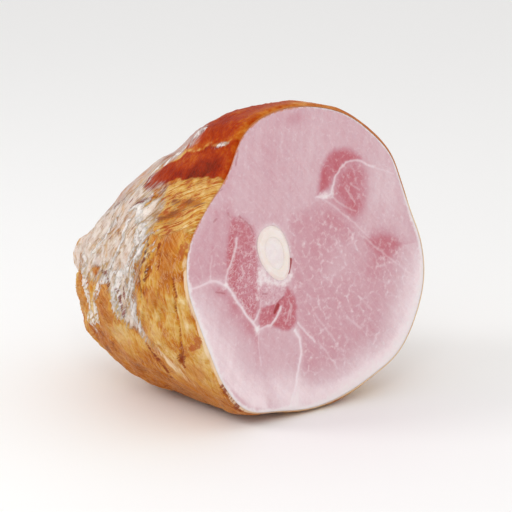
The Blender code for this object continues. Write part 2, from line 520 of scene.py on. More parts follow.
def ridges(places, seed):
    """1 along the lines where the noise passes zero, falling off to both sides."""
    return (1 - np.minimum(np.abs(ripple(places, seed, 2)) * 3, 1)) ** 2


def within(low, high, value, edge):
    """1 from low to high, with soft edges."""
    return smooth(low - edge, low + edge, value) * (1 - smooth(high - edge, high + edge, value))


def on_map(lines):
    """Lines of turn and back places as lines of the leg's map, in millimetres."""
    return [[(math.radians(t) * MAP_RADIUS, b) for t, b in line] for line in lines]


def patches(marks):
    """Soft patches on the skin: turn, back, half turn, half back and strength."""
    return near_spots(np.column_stack((turn, back)), marks)


# %% Wrinkles in their places
side = within(140, 198, turn, 8) * smooth(14, 34, back)
below = within(200, 262, turn, 8) * smooth(0, 20, back)
beside_cut = within(150, 215, turn, 10) * (1 - smooth(24, 44, back)) * smooth(2, 8, back)
elsewhere = (1 - within(130, 262, turn, 12)) * smooth(6, 30, back)

side_lines = ridges(slanted(33, 30, 6.5), 1)
side_net = ridges(slanted(50, 14, 5.0), 2)
below_lines = ridges(slanted(-44, 40, 6.0), 3)
cut_lines = ridges(slanted(7, 36, 5.0), 4)
long_lines = ridges(slanted(78, 46, 9.0), 5)
wrinkles = 1.3 * side * side_lines + 0.8 * side * side_net
wrinkles += 0.8 * below * below_lines + 0.45 * beside_cut * cut_lines
wrinkles += 0.6 * elsewhere * long_lines
wrinkles *= smooth(2, 12, np.minimum(turn + 90, 270 - turn)) * (1 - smooth(150, 176, back))
hidden = 1 - within(100, 262, turn, 14)
wrinkles += 0.9 * hidden * smooth(6, 30, back) * ridges(skin / 17, 23)
wrinkles += 0.5 * smooth(140, 170, back) * ridges(skin / 9, 25)
print("wrinkles up to", round(float(wrinkles.max()), 2), "mm")

# %% Pleats, curls and creases of the side
ribbons = on_map([
    [(154, 47), (158, 42), (162, 40), (165, 42), (169, 44), (172, 48), (176, 51), (182, 53),
     (187, 53), (193, 56), (197, 56)],
    [(164, 47), (169, 53), (172, 58), (179, 56), (187, 55)],
    [(171, 53), (173, 67), (176, 72), (179, 75), (184, 76), (189, 74), (192, 72)],
    [(172, 70), (178, 71), (185, 71), (190, 66)],
    [(172, 70), (174, 89), (178, 95), (186, 102), (195, 104)],
    [(152, 64), (158, 65), (164, 71), (170, 82)],
    [(158, 132), (169, 126), (180, 117), (188, 115), (196, 111)],
    [(167, 132), (180, 121), (186, 119), (193, 116), (203, 118)],
    [(146, 93), (150, 103), (155, 108), (160, 117)], [(141, 54), (144, 60), (146, 69)],
    [(146, 61), (154, 51), (161, 48)],
])
ridge = on_map([[(117, 36), (118, 42), (120, 48), (121, 56), (125, 61), (127, 68), (131, 72)]])
curls = on_map([
    [(159, 38), (159, 32), (158, 26)], [(168, 36), (166, 28), (164, 24)],
    [(173, 35), (171, 26), (169, 19)], [(165, 35), (163, 28), (161, 26)],
])
skin_map = np.column_stack((arc, back))
bent = skin_map + 1.2 * ripple(skin / 9, 8, 2)[:, None]
pleat = 0.9 * near_lines(bent, ribbons, 3.8) + 0.6 * near_lines(bent, curls, 1.8)
pleat = np.minimum(pleat + 0.7 * near_lines(bent, ridge, 5), 1)
creases = on_map([
    [(177, 9), (183, 9), (190, 15), (196, 15), (202, 17), (208, 20), (213, 26)],
    [(166, 20), (172, 22)],
])
wrinkles -= 0.9 * near_lines(bent, creases, 2.8)
print("pleats on", round(float((pleat > 0.3).mean()) * 100, 1), "% of the skin")

# %% Swellings, the strap's step, the slit and the lumps
swell = 2.4 * within(262, 300, turn, 12) + 2.4 * within(-98, -48, turn, 12)
swell += 1.2 * within(30, 74, turn, 14) + 0.8 * within(150, 215, turn, 25)
swell *= smooth(0, 6, back) * (1 - smooth(14, 40, back))
swell += patches([(149, 97, 6, 13, -3.4), (156, 126, 5, 7, 2.6), (164, 138, 7, 8, 1.5)])
strap_turn = 124.5 + 1.5 * np.sin(back / 9)
strap = 1.3 * smooth(strap_turn + 1.1, strap_turn - 0.8, turn) * within(0, 46, back, 8)
strap *= smooth(96, 118, turn)
slit = patches([(179, 42.5, 6.0, 1.1, 1)])
lumps = 0.9 * ripple(skin / 24, 6, 2)
lumps += patches([(188, 88, 7, 9, 1.8), (200, 126, 9, 9, 1.6), (181, 134, 5, 6, 1.2)])
print("swellings up to", round(float(swell.max()), 2), "mm")

# %% Move the skin
normals = np.empty(len(skin) * 3, np.float32)
rind.data.vertices.foreach_get("normal", normals)
normals = normals.reshape(-1, 3)
quiet = smooth(0, 5, back)
height = quiet * (wrinkles + lumps + 1.1 * pleat - 2.2 * slit)
height += swell + smooth(0, 2, back) * strap
resting = smooth(0.2, 5, skin[:, 2])
skin = skin + normals * (height * resting)[:, None]
skin[:, 2] = np.maximum(skin[:, 2], 0)
put_points(rind, skin)

# Painted light and shade: the crests of the wrinkles and pleats lighten the skin's colour, and
# their grooves and the creases darken it.
paint(rind, "crest", quiet * (wrinkles + 0.8 * pleat))
paint(rind, "slit", slit)

leg_map = rind.data.uv_layers.new(name="leg")
corners = np.empty(len(rind.data.loops), np.int32)
rind.data.loops.foreach_get("vertex_index", corners)
corner_arc, corner_back = arc[corners], back[corners]
for face in rind.data.polygons:
    span = slice(face.loop_start, face.loop_start + face.loop_total)
    if np.ptp(corner_arc[span]) > math.pi * MAP_RADIUS:
        corner_arc[span] += TAU * MAP_RADIUS * (corner_arc[span] < 0)
flat_map = np.column_stack((corner_arc, corner_back)) * MM
leg_map.data.foreach_set("uv", flat_map.astype(np.float32).ravel())
print("skin moved by up to", round(float(height.max()), 2), "mm")

# %% [markdown]
# ## The rind: its colours
#
# Smoke and dripping fat colour the skin. It is golden where thin fat lies under it, mahogany
# where the smoke reached it dry, and orange on the bulges between the pleats. A whitish film of
# dried fat stretches over the side, painted whiter with highlights where it lies on the pleats,
# and along the top lies a grey sheen that is a painted reflection of the room. The creases and
# the slit get painted shade, and the underside is partly darkened with painted shade. Each of
# these is a soft patch painted on the points. The material roughens the patches' edges with
# noise, so that they end in streaks. The hidden sides get the same kinds of patches, spread by
# noise.

# %% The smoked patches and their tone
torn = skin_map + 3.5 * np.column_stack([ripple(skin / 14, seed, 4) for seed in (17, 18)])


def skin_patch(border, edge):
    """1 inside a border of turn and back places, with a torn edge that is soft as well."""
    return within_border(torn, on_map([border])[0], edge)


smoked_dark = skin_patch(
    [(124.3, -8), (124.1, 10), (123.9, 25), (123.5, 36), (124, 46), (127, 58), (131, 72), (136, 72),
     (137.5, 62), (137, 50), (135, 40), (136, 30), (135.8, 15), (136.5, -8)], 1.2
)
smoked_top = skin_patch(
    [(40, -8), (123.7, -8), (123.4, 20), (122.4, 36), (123, 52), (121, 70), (108, 96), (80, 120),
     (50, 110)], 1.6
)
smoked_top *= smooth(20, 70, turn + 20 * ripple(skin / 40, 26, 3))
smoked_top *= 1 - 0.7 * smooth(40, 110, back + 14 * ripple(skin / 30, 27, 3))
drift = 0.5 + 0.5 * ripple(skin / 55, 12, 4)
mahogany = np.maximum(smoked_dark, 0.95 * smoked_top)
drift += 0.16 * ripple(skin / 14, 29, 4)
mahogany = np.maximum(mahogany, 0.6 * hidden * smooth(0.40, 1.05, drift))

smoke_tone = 0.56 - 0.26 * smoked_dark + 0.10 * (1 - smooth(2, 12, back)) + patches([
    (131, 14, 5, 12, -0.06), (134, 22, 4, 14, -0.12), (128, 36, 4, 8, 0.10),
    (126, 12, 2.5, 20, 0.16), (127, 52, 3, 14, 0.14), (134, 58, 5, 10, 0.04),
    (136, 2, 4, 4, 0.10), (133, 4, 5, 4, 0.06), (118, 22, 6, 18, -0.16), (108, 30, 14, 24, -0.10),
])
smoke_tone += 0.18 * hidden * ripple(skin / 30, 28, 4)
print("smoked", round(float((mahogany > 0.5).mean()) * 100, 1), "% of the skin")

# %% Painted sheen, the film of fat, its ribbons with painted highlights, and its trail
# Painted reflection: a grey sheen, the white room mirrored at a grazing angle along the top of the
# side.
sheen = skin_patch(
    [(104, 52), (112, 38), (118, 36), (121, 44), (124.5, 56), (130, 68), (136, 74), (141, 92),
     (142, 120), (134, 160), (118, 150), (108, 100), (102, 70)], 7
)
# The whitish film of dried fat, painted whiter with highlights where the skin is wet.
film = skin_patch(
    [(137, 62), (137, 100), (136, 125), (128, 146), (128, 186), (156, 190), (163, 170),
     (161, 142), (168, 128), (172, 112), (170, 96), (175, 80), (182, 74), (194, 66), (196, 57),
     (188, 54), (178, 51), (172, 45), (165, 39), (158, 39), (152, 42), (146, 42), (140, 52)], 12
)
film *= 1 - 0.8 * smooth(164, 184, back)
film -= patches([
    (161, 103, 2.6, 6, 0.9), (169, 105, 2.6, 6, 0.8), (156, 48, 1.8, 5, 0.8),
    (142, 54, 1.4, 8, 0.7), (179, 65, 2.0, 4, 0.6), (154, 80, 0.8, 4, 0.7),
    (145, 57, 0.8, 5, 0.7), (146, 70, 0.8, 5, 0.6), (164, 71, 1.0, 5, 0.5),
    (158, 68, 1.0, 5, 0.4), (146, 97, 1.6, 8, 0.5),
])
film += 0.20 * hidden * smooth(0.0, 0.6, ripple(skin / 50, 13, 4)) * smooth(20, 80, back)
frayed = skin_map + 2.2 * np.column_stack([ripple(skin / 5, seed, 4) for seed in (19, 20)])
trail = on_map([
    [(184, 72), (191, 66), (196, 60), (200, 55), (204, 50), (210, 41), (217, 35), (226, 27)],
])
film += 0.4 * near_lines(frayed, trail, 8) * (1 - smooth(196, 214, turn))
# Whitish fat along the pleats, curls and ridge line, with painted highlights on them and on the
# strap's step.
ribbon = near_lines(frayed, ribbons, 6.5) + 0.7 * near_lines(bent, curls, 2.0)
ribbon += 0.7 * near_lines(frayed, ridge, 7) + patches([(124.0, 13, 0.8, 5.5, 1.5)])
print("film on", round(float((film > 0.5).mean()) * 100, 1), "% of the skin")

# %% Fibres, orange bulges, brown marks and painted shade in the creases and the slit
fibrous = skin_patch(
    [(136.5, -5), (136, 30), (138, 46), (146, 44), (157, 36), (160, 20), (159, -5)], 4
)
orange = patches([
    (180, 89, 7, 10, 1.0), (190, 90, 8, 10, 1.0), (205, 84, 9, 22, 0.4), (174, 138, 10, 9, 1.0),
    (184, 130, 9, 6, 1.0), (161, 29, 4, 5, 1.0), (165, 102, 4, 4, 0.9), (169, 106, 3, 3, 0.7),
    (184, 29, 6, 5, 0.4), (200, 45, 9, 10, 0.5), (163, 14, 7, 12, 0.6), (170, 14, 6, 10, 0.5),
    (225, 60, 16, 45, 0.4), (240, 40, 16, 50, 0.9), (218, 14, 8, 10, 0.4), (228, 100, 18, 20, 0.7),
])
orange += 0.6 * hidden * smooth(0.0, 0.5, ripple(skin / 38, 14, 3))

brown_strokes = on_map([
    [(146, 70), (144, 65), (143, 58), (142, 50)], [(137, 108), (137, 101), (138, 90)],
    [(142, 79), (141, 76)], [(154, 79), (155, 77)], [(156, 87), (157, 84)],
    [(178, 64), (185, 61), (190, 67)], [(180, 71), (184, 69), (189, 68)],
    [(209, 21), (212, 24), (214, 26)], [(205, 54), (210, 50), (218, 48), (225, 47)],
    [(178, 84), (172, 84), (170, 92)], [(160, 36), (165, 35), (171, 38)],
    [(166, 30), (171, 31), (176, 35)], [(163, 22), (168, 24)], [(225, 1), (231, 1), (238, 2)],
])
# Brown marks, plus painted shade inside the slit and, on the next line, along the two creases.
brown = 0.9 * near_lines(frayed, brown_strokes, 4.2) + 0.7 * slit
brown += 0.8 * near_lines(bent, creases, 2.6) + patches([
    (148, 8, 2.6, 7, 0.8), (146.5, 19, 2.4, 7, 0.9), (151, 23, 3.0, 7, 0.9),
    (153, 32, 3.0, 6, 0.9), (145.5, 31, 2.0, 6, 0.7), (156, 20, 2.0, 6, 0.6),
    (211, 23, 2.6, 4, 0.9), (138.5, 16, 1.2, 9, 0.7),
])
brown += 0.35 * within(216, 262, turn, 8) * smooth(0.0, 0.4, ripple(skin / 12, 16))
red = patches([(203, 4, 2.6, 3, 1.0), (206, 10, 1.6, 5, 0.9), (166.5, 3, 4.5, 3.5, 0.8)])
pale = 0.9 * within(172, 240, turn, 6) * (1 - smooth(0.4, 3.2, back))
pale += (within(-95, 22, turn, 6) + within(240, 275, turn, 6)) * (1 - smooth(0.3, 2.0, back))
pale += 0.26 * near_lines(frayed, trail, 8)
pale += patches([(196, 9, 4, 5, 0.5), (212, 34, 8, 16, 0.3)])
print("brown marks on", round(float((brown > 0.5).mean()) * 100, 1), "% of the skin")

# %% The skin's tone, darker below partly with painted shade, and the painting
# The skin's tone. The dark patches on the lower side are partly its browner colour and partly
# painted shade.
skin_tone_and_lower_shade = 0.49 + patches([
    (190, 6, 22, 9, 0.12), (188, 30, 16, 12, 0.02), (190, 16, 14, 8, -0.04),
    (205, 38, 10, 16, 0.06), (167, 20, 8, 16, -0.08), (150, 20, 8, 18, 0.02),
    (238, 30, 16, 50, -0.22), (222, 90, 20, 34, -0.20), (205, 16, 12, 14, 0.06),
    (252, 60, 14, 60, -0.20), (200, 126, 14, 18, -0.20), (166, 24, 7, 12, -0.08),
    (207, 78, 14, 16, 0.16), (216, 56, 10, 14, 0.08),
])
skin_tone_and_lower_shade += hidden * (0.22 * ripple(skin / 44, 24, 4) - 0.06)
skin_tone_and_lower_shade -= 0.12 * within(30, 122, turn, 30) + 0.06 * smooth(130, 170, back)

for name, value in (
    ("mahogany", mahogany), ("film", film), ("orange", orange), ("brown", brown),
    ("red", red), ("pale", pale), ("sheen", sheen), ("ribbon", ribbon), ("fibrous", fibrous),
    ("tone", skin_tone_and_lower_shade), ("smoke", smoke_tone), ("shank", smooth(138, 168, back)),
):
    paint(rind, name, np.clip(value, 0, 1))
print("painted", len(rind.data.attributes), "layers")

# %% Turn the edge in and close it
bpy.ops.object.mode_set(mode="EDIT")
bpy.ops.mesh.select_mode(type="VERT")
bpy.ops.mesh.select_all(action="DESELECT")
bpy.ops.object.mode_set(mode="OBJECT")
for point in skin_rim:
    rind.data.vertices[point].select = True
bpy.ops.object.mode_set(mode="EDIT")
lip = 1 - LIP_WIDTH / 100
cut_centre = (CUT_MIDDLE[0] * MM, CUT_PLANE * MM, CUT_MIDDLE[1] * MM)
bpy.ops.mesh.extrude_region_move()
bpy.ops.transform.resize(value=(lip, 1, lip), center_override=cut_centre)
bpy.ops.mesh.extrude_region_move(TRANSFORM_OT_translate={"value": (0, LIP_DEPTH * MM, 0)})
bpy.ops.mesh.edge_face_add()
bpy.ops.object.mode_set(mode="OBJECT")
bpy.ops.object.shade_smooth()
print("rind triangles", sum(len(face.vertices) - 2 for face in rind.data.polygons))

turn, back, _ = leg_places(points_of(rind))
paint(rind, "rim", (back < 0.3) * within(24, 120, turn, 6))

# %% [markdown]
# ## The rind: its finish
#
# Skin is never one colour. Noise that is drawn out along the leg's map gives streaks, each set
# with its own slant, and even noise gives grain. Their sum with the painted tone picks a colour
# from a ramp of golds. Over that lie the fibres, the smoke, the painted sheen, the films with
# their painted highlights and the marks, each as a colour with its share, like coats of paint.
# The films are glossier than the bare skin, and the same noises raise the small relief.

# %% Smoked skin, as a material
smoked = Finish(
    "smoked_skin",
    IOR=1.42, Specular_IOR_Level=0.20, Coat_Roughness=0.17, Coat_IOR=1.4,
    Subsurface_Weight=0.03, Subsurface_Scale=0.002, Specular_Tint=(1.0, 0.5, 0.22, 1),
)
on_leg = smoked.node("UVMap", {"uv_map": "leg"})


def grain(finish, size, detail=3, rough=0.55):
    """Even noise from 0 to 1 whose spots are about size metres wide."""
    named = {"Scale": 1 / size, "Detail": detail, "Roughness": rough}
    return finish.node("TexNoise", {}, Vector=finish.on_ham(), **named)


def strands(degrees, length, width, detail=4, twist=0.6):
    """Noise that is drawn out along a slant of the leg's map."""
    settings = {"vector_type": "TEXTURE"}
    named = {"Rotation": (0, 0, math.radians(degrees)), "Scale": (length, width, 1)}
    drawn = smoked.node("Mapping", settings, on_leg, **named)
    named = {"Scale": 1, "Detail": detail, "Roughness": 0.6, "Distortion": twist}
    streaky = smoked.node("TexNoise", {}, drawn, **named)
    even = grain(smoked, width * 2.2, detail)
    return streaky + (even - streaky) * smoked.painted("shank")


def wisps(noise, width):
    """Thin lines where a noise passes its middle."""
    away = noise - 0.5
    return (away * away).step(width * width, 0)


around = strands(3, 0.026, 0.0062, 5, 2.2)
hairs = strands(6, 0.008, 0.0016, 3, 1.4)
lengthwise = strands(68, 0.016, 0.0022, 4, 1.4)
slanting = strands(38, 0.016, 0.0021, 4, 0.9)
dashes = strands(42, 0.0055, 0.0017, 2, 0.4)
lower = strands(-46, 0.020, 0.0026, 4, 1.2)
broad = grain(smoked, 0.024, 3)
middling = grain(smoked, 0.0085, 4)
fine = grain(smoked, 0.0020, 3)
print("streaks and grain made")

# %% Colours and edges
TAN, HONEY, PALE = shade(203, 156, 96), shade(222, 184, 122), shade(230, 204, 164)
ORANGE, RUST, BROWN = shade(188, 108, 28), shade(156, 78, 22), shade(126, 38, 10)
FILM_TAN, FILM, WHITE = shade(194, 170, 152), shade(220, 206, 198), shade(240, 234, 231)
DASH, GREY, FAT = shade(146, 84, 48), shade(192, 178, 176), shade(240, 218, 188)
RED_BROWN, PALE_HAIR, SHEEN_TAN = shade(168, 76, 36), shade(232, 198, 146), shade(166, 134, 118)
SLIT_SHADE, RIM_BROWN = shade(84, 30, 22), shade(196, 124, 72)


def ragged_edge(mask, noise, reach=2.6, low=0.34, high=0.66):
    """A painted mask whose edge is broken up by a noise."""
    return (mask + (noise - 0.5) * reach).step(low, high)


def patch_of(name, noise, reach=2.6, low=0.34, high=0.66):
    """A painted patch with a ragged edge, and nothing where it isn't painted at all."""
    painted = smoked.painted(name)
    return ragged_edge(painted, noise, reach, low, high) * painted.step(0.02, 0.25)


def line_of(name, noise, full):
    """A painted line that a noise breaks up, and nothing where it isn't painted at all."""
    painted = smoked.painted(name)
    return (painted + noise).step(0.45, full) * painted.step(0.02, 0.4)


print("colours and edges ready")

# %% The skin under everything
SKIN_TONES = [
    (0.00, shade(100, 38, 8)), (0.20, shade(158, 78, 18)), (0.38, shade(188, 113, 30)),
    (0.52, shade(202, 147, 60)), (0.66, shade(213, 173, 100)), (0.86, shade(232, 207, 158)),
]
depth = smoked.painted("tone") + (broad - 0.5) * 1.1 + (middling - 0.5) * 0.75
depth = depth + (around - 0.5) * 0.45 + (hairs - 0.5) * 0.12 + (fine - 0.5) * 0.25
# Painted light on the wrinkles' crests and painted shade in their grooves.
depth = depth + smoked.painted("crest") * 0.16 - 0.03
streaked = 1 - smoked.painted("shank")
orange_here = patch_of("orange", middling, 2.6, 0.20, 0.90)
lower_here = smoked.painted("orange") * 0.8
skin_colour = smoked.lay(
    smoked.ramp(SKIN_TONES, depth),
    (wisps(around, 0.035) * streaked * 0.28, PALE),
    (wisps(hairs, 0.030) * streaked * 0.10, RUST),
    (orange_here * 0.70, ORANGE),
    (orange_here * broad.step(0.52, 0.36) * 0.4, RUST),
    (lower_here * wisps(lower, 0.045) * 0.45, HONEY),
    (lower_here * lower.step(0.44, 0.36) * 0.8, RUST),
)
print("skin laid with", len(smoked.tree.nodes), "nodes")

# %% Bare fibres and smoked patches
fibrous_here = patch_of("fibrous", lengthwise, 2.0, 0.3, 0.7)
fibre_depth = smoked.painted("tone") + (lengthwise - 0.5) * 1.5 + (middling - 0.5) + 0.02
gaps = (lengthwise * 0.55 + middling * 0.45).step(0.485, 0.42)
fibre_colour = smoked.lay(
    smoked.ramp(SKIN_TONES, fibre_depth),
    (wisps(lengthwise, 0.03) * 0.45, PALE_HAIR), (gaps * 0.75, RED_BROWN),
)

SMOKE_TONES = [
    (0.00, shade(84, 8, 0)), (0.25, shade(136, 20, 0)), (0.45, shade(163, 46, 0)),
    (0.62, shade(179, 80, 8)), (0.80, shade(200, 118, 40)), (1.00, shade(222, 164, 100)),
]
smoke_noise = (middling - 0.5) * 0.8 + (fine - 0.5) * 0.5
mahogany_here = (smoked.painted("mahogany") + smoke_noise).step(0.12, 0.80)
mahogany_here = mahogany_here * smoked.painted("mahogany").step(0.02, 0.2)
smoke_depth = smoked.painted("smoke") + (middling - 0.5) * 0.55 + (lengthwise - 0.5) * 0.25
smoke_depth = smoke_depth + (fine - 0.5) * 0.45 + (broad - 0.5) * 0.35
smoke_colour = smoked.ramp(SMOKE_TONES, smoke_depth)
print("fibres and smoke laid with", len(smoked.tree.nodes), "nodes")

# %% The painted sheen, and films of dried fat with painted highlights
# Painted reflection: where the grey sheen lies, how much of it shows, and its colours.
sheen_here = patch_of("sheen", lengthwise, 2.2, 0.15, 0.95)
sheen_share = 0.70 + (lengthwise - 0.5) * 1.8 + (middling - 0.5) * 1.8
sheen_colour = smoked.lay(
    SHEEN_TAN, (slanting.step(0.38, 0.54), GREY), (wisps(slanting, 0.03) * 0.5, FILM)
)
fat_film_and_highlight_here = patch_of("film", slanting * 0.7 + middling * 0.3, 3.4, 0.00, 0.80)
# The film's whites are partly the fat's own colour and partly painted highlights.
fat_film_and_highlight_colour = smoked.lay(
    FILM_TAN,
    (slanting.step(0.42, 0.58), FILM),
    (middling.step(0.46, 0.34) * 0.6, TAN),
    (middling.step(0.52, 0.64) * 0.6, WHITE),
    (wisps(slanting, 0.03) * 0.5, WHITE),
    (dashes.step(0.36, 0.29) * 0.75, DASH),
    (fine.step(0.58, 0.72) * 0.5, WHITE),
)
ribbon_noise = (slanting - 0.5) * 3.0 + (fine - 0.5) * 1.6 + (hairs - 0.5) * 1.6
fat_ribbon_and_highlight_here = line_of("ribbon", ribbon_noise, 1.05)
brown_noise = (lengthwise - 0.5) * 2.6 + (middling - 0.5) * 1.6
brown_mark_and_painted_shade_here = line_of("brown", brown_noise, 1.10)
print("films laid with", len(smoked.tree.nodes), "nodes")

# %% Lay them over each other
smoked.set(Base_Color=smoked.lay(
    skin_colour,
    (fibrous_here * 0.9, fibre_colour),
    (patch_of("pale", around, 2.0, 0.30, 0.80) * 0.75, FAT),
    (mahogany_here * 0.97, smoke_colour),
    ((sheen_here * sheen_share).larger(0), sheen_colour),
    (fat_film_and_highlight_here * 0.86, fat_film_and_highlight_colour),
    # Whitish fat on the pleats, with painted highlights.
    (fat_ribbon_and_highlight_here * 0.8, WHITE),
    (patch_of("red", fine, 1.6) * 0.75, RED_BROWN),
    # Brown marks, and painted shade along the creases and in the slit.
    (brown_mark_and_painted_shade_here * 0.85, BROWN),
    # Painted shade: the slit's inside darkened.
    (smoked.painted("slit").step(0.3, 0.9), SLIT_SHADE),
    (smoked.painted("rim") * 0.8, RIM_BROWN),
))
print("colours laid with", len(smoked.tree.nodes), "nodes")

# %% Its gloss and its small relief
wet = (fat_ribbon_and_highlight_here + fat_film_and_highlight_here * 0.6 + sheen_here * 0.5).step(0.0, 1.0)
gloss = 0.50 - wet * 0.12 + mahogany_here * 0.04 + (fine - 0.5) * 0.25
glints = fine.step(0.52, 0.66) * 0.14 * (1 - mahogany_here * 0.8)
smoked.set(Roughness=gloss, Coat_Weight=0.04 - mahogany_here * 0.03 + wet * 0.3 + glints)
relief = around * 0.5 + hairs * 0.2 + slanting * fat_film_and_highlight_here * 0.5 + dashes * fat_film_and_highlight_here * 0.5
relief = relief + lower * lower_here * 0.5 + fine * 0.25 + middling * 0.6 + fat_ribbon_and_highlight_here * 0.3
relief = relief + lengthwise * fibrous_here * 0.5
bump = smoked.node("Bump", {}, Strength=0.9, Distance=0.0021, Height=relief)
smoked.set(Normal=bump)
rind.data.materials.append(smoked.material)
print("smoked skin has", len(smoked.tree.nodes), "nodes")

# %% [markdown]
# ## The cut meat: a flat slice
#
# The cut is the face that everyone looks at. It is nearly flat, and what it shows is the muscles
# with the seams of fat between them. A Grid gives points of even spacing, which hold painted
# detail as sharp as the photograph. The square is bent to a disc and the disc is stretched to
# the opening of the rind, so no point is wasted outside it. The edge is then drawn back and
# closed, which makes the slice a body. The same helper makes the bone and its marrow.


# %% A slice of any outline
def round_slice(name, count, outline, front):
    """A grid facing -Y whose square is bent to a disc, and the disc to an outline.

    The function outline turns places on the disc into places on the cut, in millimetres.
    """
    bpy.ops.object.select_all(action="DESELECT")
    turned = (math.pi / 2, 0, 0)
    bpy.ops.mesh.primitive_grid_add(
        x_subdivisions=count, y_subdivisions=count, size=2, location=(0, 0, 0), rotation=turned
    )
    piece = bpy.context.object
    piece.name = name
    bpy.ops.object.transform_apply(location=False, rotation=True, scale=False)
    square = points_of(piece)[:, [0, 2]] * MM
    wide = np.abs(square[:, 0]) > np.abs(square[:, 1])
    share = np.where(wide, square[:, 1], square[:, 0])
    long_side = np.where(wide, square[:, 0], square[:, 1])
    eighth = math.pi / 4 * share / np.where(long_side == 0, 1, long_side)
    angle = np.where(wide, eighth, math.pi / 2 - eighth)
    disc = np.column_stack((np.cos(angle), np.sin(angle))) * long_side[:, None]
    across, up = outline(disc).T
    put_points(piece, np.column_stack((across, np.full(len(disc), front), up)))
    return piece, np.hypot(*disc.T)


def draw_back(piece, steps):
    """Extrudes the open edge back in steps of (distance, size, shift across, shift up)."""
    bpy.ops.object.mode_set(mode="EDIT")
    bpy.ops.mesh.select_mode(type="EDGE")
    bpy.ops.mesh.select_all(action="DESELECT")
    bpy.ops.mesh.select_non_manifold()
    for distance, size, across, up in steps:
        move = (across * MM, distance * MM, up * MM)
        bpy.ops.mesh.extrude_region_move(TRANSFORM_OT_translate={"value": move})
        bpy.ops.transform.resize(value=(size, 1, size))
    bpy.ops.mesh.edge_face_add()
    bpy.ops.object.mode_set(mode="OBJECT")
    bpy.ops.object.shade_smooth()


# %% Make the slice of meat
MEAT_GRID = 290


def meat_outline(disc):
    turn = np.degrees(np.arctan2(disc[:, 1], disc[:, 0])) % 360
    lip_shown = 0.9 * LIP_WIDTH / 100 * (1 - within(100, 290, turn, 20))
    reach = cut_reach(turn) * (1 - lip_shown) - 0.1
    return CUT_MIDDLE + disc * reach[:, None]


meat, meat_share = round_slice("cut_meat", MEAT_GRID, meat_outline, CUT_PLANE)
face = points_of(meat)[:, [0, 2]]
from_bone = face - BONE_MIDDLE
meat_turn = np.degrees(np.arctan2(*(face - CUT_MIDDLE).T[::-1]))
from_edge = (1 - meat_share) * cut_reach(meat_turn)
print("meat points", len(face), "about", round(200 / MEAT_GRID, 2), "mm apart")

# %% [markdown]
# ## The cut meat: muscles, seams and fat
#
# Every place below is read off the cut in millimetres from the bone's middle. A muscle is an
# area with a soft border and a tone, from pale to dark red. White seams run between muscles and
# part where three of them meet. The meat turns pale towards the lower right edge. A band of fat
# lies under the rind and is thickest there. Noise bends all the borders a little.

# %% Seams between the muscles
BRANCHING = (-38, -15)
JUNCTION = (-14, -49)
wide_seams = [
    [BRANCHING, (-36, -18), (-32, -24), (-27, -31), (-22, -38.5), (-18, -43), JUNCTION],
    [(17, -55), (21, -61), (22.5, -71), (20.5, -81), (18, -94), (14, -106)],
    [(-6, -47.5), (-3, -47.5), (0, -45), (3, -41), (5, -36.5)],
]
thin_seams = [
    [(-30, 15), (-31, 9), (-33, 3), (-35, -2), (-37, -5), (-38, -9), BRANCHING],
    [BRANCHING, (-46, -11), (-52, -10), (-60, -12), (-68, -13)],
    [(-17, -43), (-13, -39), (-12, -36)], [JUNCTION, (-9, -48), (-6, -47.5)],
    [(-1, 20), (3, 16), (7, 11), (10, 6), (12.5, 0)],
    [(34, 33), (40, 32), (46, 33), (47, 38), (49, 44), (53, 50), (58, 53), (65, 53.5)],
    [(65, 53.5), (71, 52), (76, 49.5), (82, 47)], [(19, -50), (25, -57), (33, -66)],
]
hair_seams = [
    [(-51, -9), (-50, -2), (-49, 6)], [(-12, -36), (-11, -30), (-13, -23), (-14, -16)],
    [(9, -49), (11, -45), (13, -39)], [(12, -33), (14, -39), (13, -46)],
    [(-13, -52), (-13, -61), (-11, -74)], [(82, 47), (90, 44), (99, 40)],
    [(40, 31), (49, 24), (59, 16), (66, 11), (79, -1)], [(47, 31), (53, 26), (60, 22), (67, 19)],
    [(74, 1), (84, -8), (95, -17), (109, -27), (122, -36)],
    [(33, -46), (39, -54), (45, -61), (50, -68)], [(36, -66), (42, -73), (53, -88)],
    [(70, -40), (76, -46), (81, -51)], [(60, -52), (66, -58), (73, -64)],
    [(-6, -33), (-2, -34), (3, -32)], [(58, 36), (62, 30), (66, 25)], [(62, 38), (70, 33)],
]
wobble_at = np.column_stack((face / 7, 0 * face[:, 0]))
wobble = np.column_stack([ripple(wobble_at, seed, 3) for seed in (21, 22)])
here = from_bone + 0.7 * wobble
seam = np.maximum(near_lines(here, wide_seams, 2.0), 0.75 * near_lines(here, thin_seams, 1.7))
seam = np.maximum(seam, 0.38 * near_lines(here, hair_seams, 1.4))
seam_glow = near_lines(here, wide_seams + thin_seams[:4], 5)
print("seams cover", round(float((seam > 0.3).mean()) * 100, 1), "% of the cut")


